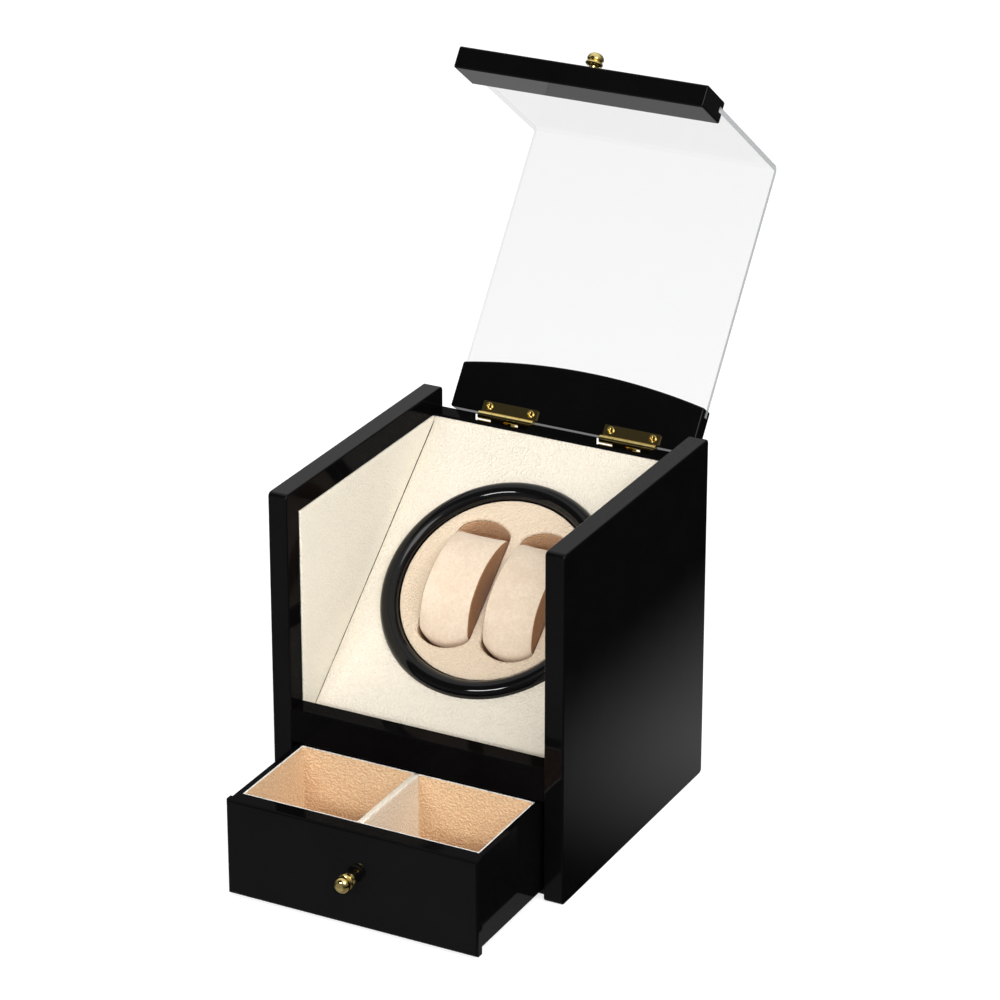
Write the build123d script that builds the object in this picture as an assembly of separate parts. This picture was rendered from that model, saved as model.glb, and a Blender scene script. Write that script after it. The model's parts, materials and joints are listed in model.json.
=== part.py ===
from build123d import *
from math import cos, sin, radians, pi
import os

# Watch winder box: a black lacquered wooden case with a tilted, leather-lined display
# panel, a motor-driven turntable for two watch cushions, a hinged lid with a bent clear
# window, and a shallow drawer underneath.  Millimetres.  The origin is the centre of the
# case's flat underside; +Z is up, -Y is the front, +X is the viewer's right.

# ---- case -------------------------------------------------------------------
case_width = 170.0
case_depth = 168.4
case_height = 197.4
wall = 11.0
panel_corner = 2.5
lacquer_round = 0.8
front = -case_depth / 2
rear = case_depth / 2
inner_x = case_width / 2 - wall

base_thickness = 4.4
base_setback = 7.0
rear_board_thickness = 6.0
rear_rail_depth = 11.5
rear_rail_bottom = 160.0
rear_rail_top = 185.5
ledge_depth = 12.1
front_rail_bottom = 57.0
ledge_top = 76.0
deck_thickness = 3.0
ledge_back = front + ledge_depth
rail_face = rear - rear_rail_depth

# ---- tilted display panel ---------------------------------------------------
tilt = 40.0
ring_y = 4.16
ring_z = 124.27
board_thickness = 3.0
lining_thickness = 1.0
lining_top = 184.3
opening_radius = 55.2
panel_frame = Plane(
    origin=(0, ring_y, ring_z),
    x_dir=(1, 0, 0),
    z_dir=(0, -sin(radians(tilt)), cos(radians(tilt))),
).location

# ---- bezel ring and turntable -----------------------------------------------
ring_outer = 64.0
ring_inner = 53.6
ring_crown = 4.5
ring_lip = 1.4
turntable_radius = 53.0
face_top = 0.5
face_lining = 0.8
face_plate = 2.4
housing_radius = 51.0
housing_wall = 2.0
housing_back = -24.0
hub_radius = 7.0
hub_length = 3.0
pocket_offset = 18.8
pocket_width = 31.0
pocket_straight = 64.0
pocket_length = 77.0
pocket_floor = -20.2
pocket_skin = 0.8
cushion_clearance = 0.4
cushion_low = -36.4
cushion_high = 30.0
cushion_corner_u = -30.0
cushion_crown = 13.5

# ---- drive ------------------------------------------------------------------
gear_teeth = 48
pinion_teeth = 16
gear_module = 1.0
gear_width = 5.0
gear_back = -32.4
pinion_angle = 150.0
spindle_radius = 3.0
running_gap = 0.05
bracket_front = -34.5
bracket_thickness = 2.0
bracket_leg_x = 57.0
bracket_flange_x = 70.0
bracket_low = -14.0
bracket_high = 34.0
bracket_screw_x = 64.0
bracket_screw_u = (-6.0, 26.0)
motor_screw_offset = 10.0
gearbox_radius = 15.0
gearbox_length = 10.0
motor_radius = 12.0
motor_length = 15.0
motor_shaft_radius = 2.0

# ---- lid --------------------------------------------------------------------
lid_half_width = 72.5
axis_y = 86.6
axis_z = 183.8
leaf_offset = 2.4
lid_open_angle = 126.6
lid_rear = 84.5
lid_rail_length = 25.7
lid_rail_bow = 7.0
lid_rail_thickness = 10.0
lid_under = axis_z + leaf_offset
window_thickness = 3.0
window_middle_z = 191.3
window_rear = 63.1
window_front_middle_y = -78.7
window_bend_radius = 4.0
bar_depth = 12.1
bar_bottom = 76.4
bar_top = 102.5
bar_groove = 5.0
bar_round = 1.1
hinge_line = Axis((0, axis_y, axis_z), (1, 0, 0))

# ---- hinges -----------------------------------------------------------------
hinge_x = 36.6
hinge_length = 33.0
leaf_reach = 8.6
leaf_thickness = 1.0
barrel_radius = 2.2
pin_radius = 1.0
knuckles = 4
knuckle_gap = 0.2
screw_spacing = 25.0
screw_reach = 5.75
hinge_pocket_reach = 8.8
hinge_pocket_low = 181.3
stop_lug_half_width = 3.0
stop_lug_drop = 5.4

# ---- drawer -----------------------------------------------------------------
drawer_travel = 69.5
drawer_front_half = 72.6
drawer_front_thickness = 5.0
drawer_front_bottom = 1.75
drawer_front_top = 56.0
drawer_half = 71.6
drawer_side_thickness = 3.2
drawer_wall = 5.0
drawer_back_thickness = 4.0
drawer_bottom_z = 4.75
drawer_floor_thickness = 3.0
drawer_top = 55.7
drawer_inner_depth = 61.0
drawer_tail = 34.7
drawer_tail_top = 44.0
tray_skin = 0.9
divider_thickness = 1.6
guide_height = 30.0
guide_bottom = 10.0
stop_pin_radius = 1.6

# ---- rear controls ----------------------------------------------------------
cover_width = 96.0
cover_height = 62.0
cover_z = 100.0
cover_thickness = 2.0
cover_overlap = 6.0
control_x = 28.0
jack_z = 92.0
jack_bore_radius = 2.8
jack_bore_depth = 9.0
board_front_y = 70.0
circuit_thickness = 1.6
jack_half = 5.0
jack_nose_radius = 5.5
jack_pin_radius = 1.0
jack_lip = 0.8
switch_half = 8.0
switch_neck_radius = 3.2
selector_shaft_radius = 2.0
selector_radius = 8.0
selector_flutes = 24
rocker_opening_x = 6.5
rocker_opening_z = 9.6
rocker_rim = 1.2


def block(x0, x1, y0, y1, z0, z1):
    """Box between the given limits."""
    size = (x1 - x0, y1 - y0, z1 - z0)
    middle = ((x0 + x1) / 2, (y0 + y1) / 2, (z0 + z1) / 2)
    return Pos(*middle) * Box(*size)


def disc(radius, low, high, x=0.0, y=0.0):
    """Cylinder along local Z between two heights."""
    return Pos(x, y, (low + high) / 2) * Cylinder(radius, high - low)


def rod_x(radius, x0, x1, y, z):
    """Cylinder along X."""
    return Pos((x0 + x1) / 2, y, z) * Rot(0, 90, 0) * Cylinder(radius, x1 - x0)


def rod_y(radius, y0, y1, x, z):
    """Cylinder along Y."""
    return Pos(x, (y0 + y1) / 2, z) * Rot(90, 0, 0) * Cylinder(radius, y1 - y0)


def prism_x(points, x0, x1):
    """Polygon given as (y, z) points, swept along X."""
    outline = Polyline([(x0, y, z) for y, z in points], close=True)
    return extrude(make_face(outline), amount=x1 - x0, dir=(1, 0, 0))


def screw(head_radius, head_height, shank_radius, shank_length):
    """Cross-head screw along local Z: the head's underside lies at z = 0, its shank below."""
    head = disc(head_radius, 0, head_height)
    head = fillet(head.faces().sort_by(Axis.Z)[-1].edges(), head_height * 0.6)
    slot = Box(head_radius * 1.2, head_radius * 0.28, head_height)
    cross = Pos(0, 0, head_height) * (slot + Rot(0, 0, 90) * slot)
    return head + disc(shank_radius, -shank_length, 0) - cross


def on_rear(x, z, shape, y=rear):
    """Place a shape whose local +Z is to point out of the rear face."""
    return Pos(x, y, z) * Rot(-90, 0, 0) * shape


def mirrored_x(shape):
    return mirror(shape, about=Plane.YZ)


def surface_z(y):
    """Height of the tilted panel's lined surface at a given y."""
    return ring_z + (y - ring_y) * sin(radians(tilt)) / cos(radians(tilt))


# ---- case woodwork ----------------------------------------------------------
def side_panel(x0):
    panel = block(x0, x0 + wall, front, rear, 0, case_height)
    panel = fillet(panel.edges().filter_by(Axis.X), panel_corner)
    return fillet(panel.faces().filter_by(Axis.X).edges(), lacquer_round)


def base_board():
    return block(-inner_x, inner_x, front + base_setback, rear, 0, base_thickness)


def rear_board():
    board = block(
        -inner_x, inner_x, rear - rear_board_thickness, rear, base_thickness, rear_rail_bottom
    )
    hatch_x = cover_width / 2 - cover_overlap
    hatch_z = cover_height / 2 - cover_overlap
    return board - block(
        -hatch_x, hatch_x, rear - rear_board_thickness - 1, rear + 1,
        cover_z - hatch_z, cover_z + hatch_z,
    )


def rear_rail():
    """Top rear rail, with a sloped pocket behind its top edge for each hinge barrel."""
    rail = block(-inner_x, inner_x, rail_face, rear, rear_rail_bottom, rear_rail_top)
    rail = fillet(rail.edges().filter_by(Axis.X).group_by(Axis.Z)[-1], 0.5)
    half = hinge_length / 2 + 0.8
    pocket_front = rear - hinge_pocket_reach
    slope = [
        (pocket_front, rear_rail_top + 1), (pocket_front, rear_rail_top),
        (rear, hinge_pocket_low), (rear + 1, hinge_pocket_low), (rear + 1, rear_rail_top + 1),
    ]
    for side in (-1, 1):
        middle = side * hinge_x
        rail -= prism_x(slope, middle - half, middle + half)
        for offset in (-1, 1):
            hole_x = middle + offset * screw_spacing / 2
            rail -= on_rear(hole_x, axis_z - screw_reach, disc(0.9, -6.2, 1))
    return rail


def front_rail():
    rail = block(-inner_x, inner_x, front, ledge_back, front_rail_bottom, ledge_top)
    front_edges = rail.edges().filter_by(Axis.X).group_by(Axis.Y)[0]
    return fillet(front_edges, 1.2)


def drawer_deck():
    return block(
        -inner_x, inner_x, ledge_back, rear - rear_board_thickness,
        front_rail_bottom, front_rail_bottom + deck_thickness,
    )


# ---- tilted panel -----------------------------------------------------------
def sloped_sheet(half_width, low, high):
    """Sheet parallel to the tilted panel, trimmed by the two rails and the deck."""
    sheet = panel_frame * block(-half_width, half_width, -130, 130, low, high)
    keep = block(
        -inner_x, inner_x, ledge_back, rail_face,
        front_rail_bottom + deck_thickness, case_height,
    )
    return (sheet & keep) - panel_frame * disc(opening_radius, -20, 20)


def tilted_panel():
    panel = sloped_sheet(inner_x, -lining_thickness - board_thickness, -lining_thickness)
    for side in (-1, 1):
        for u in bracket_screw_u:
            panel -= panel_frame * disc(1.3, -5, -1.5, side * bracket_screw_x, u)
    return panel


def panel_lining():
    """Leather sheet on the panel, turned up against the rear rail at its top."""
    half = inner_x - lining_thickness
    sheet = sloped_sheet(half, -lining_thickness, 0)
    upstand_low = surface_z(rail_face - lining_thickness) - 0.4
    return sheet + block(-half, half, rail_face - lining_thickness, rail_face, upstand_low, lining_top)


def side_lining(x0):
    lower = lining_thickness / cos(radians(tilt))
    deck_top = front_rail_bottom + deck_thickness
    foot_y = ring_y + (deck_top + lower - ring_z) * cos(radians(tilt)) / sin(radians(tilt))
    outline = [
        (ledge_back, deck_top),
        (foot_y, deck_top),
        (rail_face, surface_z(rail_face) - lower),
        (rail_face, lining_top),
        (ledge_back, lining_top),
    ]
    return prism_x(outline, x0, x0 + lining_thickness)


def bezel_ring():
    """Half-round trim ring with a short lip down into the panel's opening."""
    middle = (ring_inner + ring_outer) / 2
    lip_low = -lining_thickness - board_thickness
    outline = Polyline(
        [(ring_inner, 0, 0.4), (ring_inner, 0, lip_low), (ring_inner + ring_lip, 0, lip_low),
         (ring_inner + ring_lip, 0, 0), (ring_outer, 0, 0)]
    )
    crown = ThreePointArc((ring_outer, 0, 0), (middle, 0, ring_crown), (ring_inner, 0, 0.4))
    section = make_face(outline + crown)
    return panel_frame * revolve(section, Axis.Z)


# ---- turntable --------------------------------------------------------------
def pocket_outline(grow):
    """Slot outline: straight sides and bowed ends, enlarged all round by grow."""
    half = pocket_width / 2 + grow
    straight = pocket_straight / 2
    end = pocket_length / 2 + grow
    outline = (
        Line((-half, -straight), (-half, straight))
        + ThreePointArc((-half, straight), (0, end), (half, straight))
        + Line((half, straight), (half, -straight))
        + ThreePointArc((half, -straight), (0, -end), (-half, -straight))
    )
    face = make_face(outline)
    return fillet(face.vertices(), 3.0 + grow)


def pocket_block(grow, low, high, side):
    return Pos(side * pocket_offset, 0, low) * extrude(pocket_outline(grow), high - low)


def turntable_lining():
    sheet = disc(turntable_radius, face_top - face_lining, face_top)
    for side in (-1, 1):
        sheet -= pocket_block(pocket_skin, -5, 5, side)
    return panel_frame * sheet


def turntable_face():
    top = face_top - face_lining
    plate = disc(turntable_radius, top - face_plate, top)
    for side in (-1, 1):
        plate -= pocket_block(pocket_skin, -9, 5, side)
    return panel_frame * plate


def turntable_housing():
    top = face_top - face_lining - face_plate
    shell = disc(housing_radius, housing_back, top)
    shell -= disc(housing_radius - housing_wall, housing_back + housing_wall, top)
    shell += disc(hub_radius, housing_back - hub_length, housing_back)
    shell -= disc(spindle_radius, housing_back - hub_length, housing_back + housing_wall)
    return panel_frame * shell


def pocket_lining(side):
    """Lined tub that a cushion sits in."""
    tub = pocket_block(pocket_skin, pocket_floor - pocket_skin, face_top, side)
    return panel_frame * (tub - pocket_block(0, pocket_floor, face_top + 1, side))


def cushion(side):
    """Arched watch pillow, resting against the lower end of its pocket."""
    half = pocket_width / 2 - cushion_clearance
    low = pocket_floor + cushion_clearance
    middle = (cushion_low + cushion_high) / 2
    sides = Polyline(
        [(0, cushion_high, 0), (0, cushion_high, -10), (0, cushion_high - 10, low),
         (0, cushion_low + 10, low), (0, cushion_low, -10), (0, cushion_low, 0)]
    )
    arch = ThreePointArc((0, cushion_low, 0), (0, middle, cushion_crown), (0, cushion_high, 0))
    profile = Pos(-half, 0, 0) * make_face(sides + arch)
    pillow = extrude(profile, amount=2 * half, dir=(1, 0, 0))
    plan = make_face(
        Line((-half, cushion_corner_u), (-half, cushion_high + 1))
        + Line((-half, cushion_high + 1), (half, cushion_high + 1))
        + Line((half, cushion_high + 1), (half, cushion_corner_u))
        + ThreePointArc((half, cushion_corner_u), (0, cushion_low), (-half, cushion_corner_u))
    )
    pillow &= Pos(0, 0, -40) * extrude(plan, 80)
    return panel_frame * Pos(side * pocket_offset, 0, 0) * pillow


# ---- drive train ------------------------------------------------------------
def toothed_wheel(teeth, bore, turned_by):
    """Spur gear with straight-flanked teeth, one tooth centred on turned_by degrees."""
    pitch_radius = gear_module * teeth / 2
    root = pitch_radius - 1.2 * gear_module
    tip = pitch_radius + 0.9 * gear_module
    root_half = 1.0 * gear_module / root
    tip_half = 0.34 * gear_module / tip
    points = []
    for tooth in range(teeth):
        middle = 2 * pi * tooth / teeth + radians(turned_by)
        for radius, angle in (
            (root, middle - root_half), (tip, middle - tip_half),
            (tip, middle + tip_half), (root, middle + root_half),
        ):
            points.append((radius * cos(angle), radius * sin(angle)))
    wheel = extrude(make_face(Polyline(points, close=True)), gear_width)
    return Pos(0, 0, gear_back) * wheel - disc(bore, gear_back - 1, gear_back + gear_width + 1)


pinion_distance = gear_module * (gear_teeth + pinion_teeth) / 2
pinion_x = pinion_distance * cos(radians(pinion_angle))
pinion_u = pinion_distance * sin(radians(pinion_angle))
bracket_back = bracket_front - bracket_thickness
gearbox_back = bracket_back - gearbox_length


def drive_gear():
    wheel = toothed_wheel(gear_teeth, spindle_radius, pinion_angle)
    for turn in range(5):
        wheel -= Rot(0, 0, 72 * turn) * disc(4.6, gear_back - 1, 0, 14.5, 0)
    return panel_frame * wheel


def motor_pinion():
    half_tooth = 180 / pinion_teeth
    wheel = toothed_wheel(pinion_teeth, motor_shaft_radius, pinion_angle + 180 + half_tooth)
    shaft = disc(motor_shaft_radius, gearbox_back + 2, gear_back + gear_width + 0.6)
    return panel_frame * Pos(pinion_x, pinion_u, 0) * (wheel + shaft)


def spindle():
    shaft = disc(spindle_radius, -41, housing_back + housing_wall)
    clip = disc(5, -39.6, -38.8) - disc(spindle_radius, -40, -38)
    return panel_frame * Compound(children=[shaft, clip])


def spindle_bush():
    bush = disc(6.2, bracket_front, bracket_front + 1.4)
    bush += disc(5.0, bracket_back - 1.6, bracket_front)
    return panel_frame * (bush - disc(spindle_radius + running_gap, -45, -30))


def mechanism_bracket():
    """Bent steel strap behind the turntable, carrying the spindle's bush and the motor."""
    outer = bracket_leg_x + bracket_thickness
    board_back = -lining_thickness - board_thickness
    strap = block(-outer, outer, bracket_low, bracket_high, bracket_back, bracket_front)
    for side in (-1, 1):
        near, far = sorted((side * bracket_leg_x, side * outer))
        strap += block(near, far, bracket_low, bracket_high, bracket_back, board_back)
        near, far = sorted((side * bracket_leg_x, side * bracket_flange_x))
        strap += block(
            near, far, bracket_low, bracket_high, board_back - bracket_thickness, board_back
        )
        for u in bracket_screw_u:
            strap -= disc(1.6, board_back - 3, board_back + 1, side * bracket_screw_x, u)
    strap -= disc(5.0, bracket_back - 1, bracket_front + 1)
    strap -= disc(5.5, bracket_back - 1, bracket_front + 1, pinion_x, pinion_u)
    for offset in (-motor_screw_offset, motor_screw_offset):
        strap -= disc(1.3, bracket_back - 1, bracket_front + 1, pinion_x + offset, pinion_u)
    return panel_frame * strap


def bracket_screws():
    board_back = -lining_thickness - board_thickness
    one = Rot(180, 0, 0) * screw(2.8, 1.6, 1.25, bracket_thickness + 2.2)
    places = [(side * bracket_screw_x, u) for side in (-1, 1) for u in bracket_screw_u]
    level = board_back - bracket_thickness
    return panel_frame * Compound(children=[Pos(x, u, level) * one for x, u in places])


def gearbox_case():
    case = disc(gearbox_radius, gearbox_back, bracket_back)
    case -= disc(motor_shaft_radius + running_gap, gearbox_back + 1.8, bracket_back + 1)
    for offset in (-motor_screw_offset, motor_screw_offset):
        case -= disc(1.2, bracket_back - 5, bracket_back + 1, offset, 0)
    return panel_frame * Pos(pinion_x, pinion_u, 0) * case


def motor_screws():
    one = screw(2.4, 1.4, 1.15, bracket_thickness + 4.5)
    places = [(pinion_x + side * motor_screw_offset, pinion_u) for side in (-1, 1)]
    return panel_frame * Compound(children=[Pos(x, u, bracket_front) * one for x, u in places])


def motor_can():
    can = disc(motor_radius, gearbox_back - motor_length, gearbox_back)
    can = fillet(can.faces().sort_by(Axis.Z)[0].edges(), 1.2)
    can += disc(4.0, gearbox_back - motor_length - 1.6, gearbox_back - motor_length)
    return panel_frame * Pos(pinion_x, pinion_u, 0) * can


# ---- lid --------------------------------------------------------------------
def opened(shape):
    """Swing a lid piece drawn in the closed position round to the open one."""
    return shape.rotate(hinge_line, -lid_open_angle)


window_low = window_middle_z - window_thickness / 2
window_high = window_middle_z + window_thickness / 2
pane_front = window_front_middle_y - window_thickness / 2
pane_back = window_front_middle_y + window_thickness / 2
pane_foot = bar_top - bar_groove


def lid_hinge_rail():
    """Rear board of the lid, bowed along its front edge and grooved for the window."""
    end = lid_rear - lid_rail_length
    outline = (
        Line((-lid_half_width, end), (-lid_half_width, lid_rear))
        + Line((-lid_half_width, lid_rear), (lid_half_width, lid_rear))
        + Line((lid_half_width, lid_rear), (lid_half_width, end))
        + ThreePointArc((lid_half_width, end), (0, end - lid_rail_bow), (-lid_half_width, end))
    )
    rail = Pos(0, 0, lid_under) * extrude(make_face(outline), lid_rail_thickness)
    rail = fillet(rail.edges().filter_by(Axis.Z), 1.2)
    faces = rail.faces().filter_by(Axis.Z)
    rail = fillet(faces.edges(), 1.0)
    rail -= block(-90, 90, 0, window_rear, window_low, window_high)
    for side in (-1, 1):
        for offset in (-1, 1):
            x = side * hinge_x + offset * screw_spacing / 2
            rail -= disc(0.9, lid_under - 1, lid_under + 3.2, x, axis_y - screw_reach)
    return opened(rail)


def lid_window():
    """One clear sheet, bent down at the front."""
    points = [
        (window_rear, window_low), (window_rear, window_high), (pane_front, window_high),
        (pane_front, pane_foot), (pane_back, pane_foot), (pane_back, window_low),
    ]
    sheet = prism_x(points, -lid_half_width, lid_half_width)
    bends = [(pane_front, window_bend_radius), (pane_back, window_bend_radius - window_thickness)]
    for y, radius in bends:
        along = sheet.edges().filter_by(Axis.X).filter_by_position(Axis.Y, y - 0.1, y + 0.1)
        sheet = fillet(along.group_by(Axis.Z)[-1], radius)
    return opened(sheet)


def lid_front_bar():
    bar = block(-lid_half_width, lid_half_width, front, front + bar_depth, bar_bottom, bar_top)
    bar = fillet(bar.edges().filter_by(Axis.X), bar_round)
    bar = fillet(bar.faces().filter_by(Axis.X).edges(), bar_round - 0.2)
    bar -= block(-90, 90, pane_front, pane_back, pane_foot, bar_top + 1)
    bar -= rod_y(1.2, front - 1, front + 4.2, 0, (bar_bottom + bar_top) / 2)
    return opened(bar)


def turned_knob():
    """Small turned brass knob, local +Z outwards: foot, neck, collar and domed head."""
    profile = (
        Line((0, 0), (3.4, 0)) + Line((3.4, 0), (3.4, 1.0)) + Line((3.4, 1.0), (2.3, 1.8))
        + Line((2.3, 1.8), (2.3, 4.0)) + Line((2.3, 4.0), (4.4, 4.7)) + Line((4.4, 4.7), (4.8, 5.4))
        + Line((4.8, 5.4), (4.4, 6.3)) + Line((4.4, 6.3), (3.5, 6.8)) + Line((3.5, 6.8), (4.5, 7.6))
        + ThreePointArc((4.5, 7.6), (4.0, 9.7), (2.2, 11.2)) + Line((2.2, 11.2), (0, 11.6))
        + Line((0, 11.6), (0, 0))
    )
    knob = revolve(Rot(90, 0, 0) * make_face(profile), Axis.Z)
    return knob - disc(1.2, -1, 4.2)


def knob_on_front(y, z):
    return Pos(0, y, z) * Rot(90, 0, 0) * turned_knob()


def knob_stud(y, z, depth):
    """Threaded stud that joins a knob to the wood behind it."""
    return rod_y(1.2, y - 4.2, y + depth, 0, z)


# ---- hinges -----------------------------------------------------------------
def knuckle_spans(first):
    """X limits of every second barrel knuckle, measured from the hinge's middle."""
    pitch = hinge_length / knuckles
    spans = []
    for index in range(first, knuckles, 2):
        start = -hinge_length / 2 + index * pitch
        spans.append((start + knuckle_gap / 2, start + pitch - knuckle_gap / 2))
    return spans


def hinge_leaf(first, extra=None):
    """One leaf with its knuckles, drawn lying forward (-Y) of the axis, face up."""
    half = hinge_length / 2
    low = leaf_offset - leaf_thickness
    leaf = block(-half, half, -leaf_reach, -barrel_radius - 0.3, low, leaf_offset)
    leaf = fillet(leaf.edges().filter_by(Axis.Z).group_by(Axis.Y)[0], 0.6)
    for x0, x1 in knuckle_spans(first):
        leaf += block(x0, x1, -barrel_radius - 0.4, 0, low, leaf_offset)
        leaf += rod_x(barrel_radius, x0, x1, 0, 0)
    leaf -= rod_x(pin_radius + running_gap, -half - 1, half + 1, 0, 0)
    if extra is not None:
        leaf += extra
    for x in (-screw_spacing / 2, screw_spacing / 2):
        leaf -= disc(1.1, low - 1, leaf_offset + 1, x, -screw_reach)
    return leaf


def stop_lug():
    """Hook on the case leaf that the lid's rear edge comes to rest on when open."""
    lean = radians(lid_open_angle)
    forward = (-cos(lean), sin(lean))
    outward = (sin(lean), cos(lean))
    edge = axis_y - lid_rear - 0.06

    def seat(reach):
        return tuple(edge * forward[i] + reach * outward[i] for i in (0, 1))

    points = [
        (-1.6, -stop_lug_drop), (-1.6, -2.9), (1.8, -2.9), seat(3.3), seat(6.0), (4.2, -stop_lug_drop)
    ]
    return prism_x(points, -stop_lug_half_width, stop_lug_half_width)


def leaf_pair(shape):
    children = [Pos(side * hinge_x, 0, 0) * shape for side in (-1, 1)]
    return Compound(children=children)


def hinge_leaves_lid():
    return opened(Pos(0, axis_y, axis_z) * leaf_pair(hinge_leaf(0)))


def hinge_leaves_case():
    """Leaves on the rear face: turned down behind the rail, each with its stop lug."""
    hanging = Rot(90, 0, 0) * hinge_leaf(1)
    return Pos(0, axis_y, axis_z) * leaf_pair(hanging + stop_lug())


def hinge_pins():
    half = hinge_length / 2
    rods = [rod_x(pin_radius, -half, half, axis_y, axis_z).moved(Location((s * hinge_x, 0, 0)))
            for s in (-1, 1)]
    return Compound(children=rods)


def hinge_screws_lid():
    one = Rot(180, 0, 0) * screw(2.0, 0.7, 0.9, leaf_thickness + 3.0)
    level = lid_under - leaf_thickness
    places = [(side * hinge_x + offset * screw_spacing / 2) for side in (-1, 1) for offset in (-1, 1)]
    group = [Pos(x, axis_y - screw_reach, level) * one for x in places]
    return opened(Compound(children=group))


def hinge_screws_case():
    one = screw(2.0, 0.7, 0.9, leaf_thickness + 6.0)
    places = [(side * hinge_x + offset * screw_spacing / 2) for side in (-1, 1) for offset in (-1, 1)]
    group = [on_rear(x, axis_z - screw_reach, one, rear + leaf_thickness) for x in places]
    return Compound(children=group)


# ---- drawer, drawn pulled out -----------------------------------------------
drawer_face = front - drawer_travel
body_front = drawer_face + drawer_front_thickness
room_front = body_front + drawer_wall
room_back = room_front + drawer_inner_depth
body_back = room_back + drawer_back_thickness
side_inner = drawer_half - drawer_side_thickness
floor_top = drawer_bottom_z + drawer_floor_thickness
knob_z = (drawer_front_bottom + drawer_front_top) / 2
pin_y = body_back + drawer_tail - 6.0
pin_z = guide_bottom + guide_height / 2


def drawer_front():
    board = block(
        -drawer_front_half, drawer_front_half, drawer_face, body_front,
        drawer_front_bottom, drawer_front_top,
    )
    board = fillet(board.faces().sort_by(Axis.Y)[0].edges(), 1.4)
    return board - rod_y(1.2, drawer_face - 1, body_front + 1, 0, knob_z)


def drawer_front_wall():
    wall_board = block(-side_inner, side_inner, body_front, room_front, drawer_bottom_z, drawer_top)
    return wall_board - rod_y(1.2, body_front - 1, body_front + 3, 0, knob_z)


def drawer_side(x0):
    """Side board, running on behind the drawer's back as a guide tail."""
    x1 = x0 + drawer_side_thickness
    side = block(x0, x1, body_front, body_back, drawer_bottom_z, drawer_top)
    side += block(x0, x1, body_back, body_back + drawer_tail, drawer_bottom_z, drawer_tail_top)
    return side - rod_x(stop_pin_radius, x0 - 1, x1 + 1, pin_y, pin_z)


def drawer_back():
    return block(-side_inner, side_inner, room_back, body_back, drawer_bottom_z, drawer_top)


def drawer_bottom():
    return block(-side_inner, side_inner, room_front, room_back, drawer_bottom_z, floor_top)


def drawer_divider():
    half = divider_thickness / 2
    return block(-half, half, room_front, room_back, floor_top, drawer_top - 0.8)


def drawer_lining(side):
    """Leather-lined tray filling one compartment."""
    near = divider_thickness / 2
    tray = block(near, side_inner, room_front, room_back, floor_top, drawer_top)
    tray -= block(
        near + tray_skin, side_inner - tray_skin, room_front + tray_skin, room_back - tray_skin,
        floor_top + tray_skin, drawer_top + 1,
    )
    return tray if side > 0 else mirrored_x(tray)


def drawer_stop_pins():
    """Pins through the tails that run in the guides' slots."""
    pin = rod_x(stop_pin_radius, side_inner, drawer_half + 1.9, pin_y, pin_z)
    return Compound(children=[pin, mirrored_x(pin)])


def drawer_guides():
    """Strips on the case's inner walls, slotted so that the drawer cannot be pulled right out."""
    near = drawer_half + 0.3
    strip = block(near, inner_x, front + 9, 62, guide_bottom, guide_bottom + guide_height)
    slot_front = pin_y - stop_pin_radius - 0.1
    slot_back = pin_y + drawer_travel + 4
    strip -= block(near - 1, inner_x + 1, slot_front, slot_back, pin_z - 2.1, pin_z + 2.1)
    return Compound(children=[strip, mirrored_x(strip)])


# ---- rear controls ----------------------------------------------------------
cover_back = rear + cover_thickness
board_back_y = board_front_y + circuit_thickness
rocker_y = cover_back - 0.4
rocker_tilt = 8.0


def cover_screw_places():
    x = cover_width / 2 - cover_overlap / 2
    z = cover_height / 2 - cover_overlap / 2
    return [(sx * x, cover_z + sz * z) for sx in (-1, 1) for sz in (-1, 1)]


def rear_cover():
    plate = block(
        -cover_width / 2, cover_width / 2, rear, cover_back,
        cover_z - cover_height / 2, cover_z + cover_height / 2,
    )
    plate = fillet(plate.edges().filter_by(Axis.Y), 4.0)
    plate = fillet(plate.faces().sort_by(Axis.Y)[-1].edges(), 0.6)
    plate -= on_rear(-control_x, jack_z, disc(jack_nose_radius, -1, 5))
    plate -= on_rear(0, cover_z, disc(switch_neck_radius + 0.1, -1, 5))
    plate -= block(
        control_x - rocker_opening_x, control_x + rocker_opening_x, rear - 1, cover_back + 1,
        cover_z - rocker_opening_z, cover_z + rocker_opening_z,
    )
    for x, z in cover_screw_places():
        plate -= on_rear(x, z, disc(1.6, -1, 5))
    return plate


def rear_cover_screws():
    one = screw(2.6, 1.5, 1.5, cover_thickness)
    group = [on_rear(x, z, one, cover_back) for x, z in cover_screw_places()]
    return Compound(children=group)


def dc_jack():
    """Barrel-plug inlet: round socket with a centre pin, on a square body."""
    lip = cover_back + jack_lip
    body = block(
        -control_x - jack_half, -control_x + jack_half, board_back_y, rear,
        jack_z - jack_half, jack_z + jack_half,
    )
    body += on_rear(-control_x, jack_z, disc(jack_nose_radius, 0, cover_thickness + jack_lip))
    body -= rod_y(jack_bore_radius, lip - jack_bore_depth, lip + 1, -control_x, jack_z)
    body += rod_y(jack_pin_radius, lip - jack_bore_depth, lip - 1.2, -control_x, jack_z)
    return body


def mode_switch():
    body = block(
        -switch_half, switch_half, board_back_y, rear - 0.5,
        cover_z - switch_half, cover_z + switch_half,
    )
    body += rod_y(switch_neck_radius, rear - 0.5, rear + 1.6, 0, cover_z)
    return body - rod_y(selector_shaft_radius + running_gap, rear - 8, rear + 3, 0, cover_z)


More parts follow.
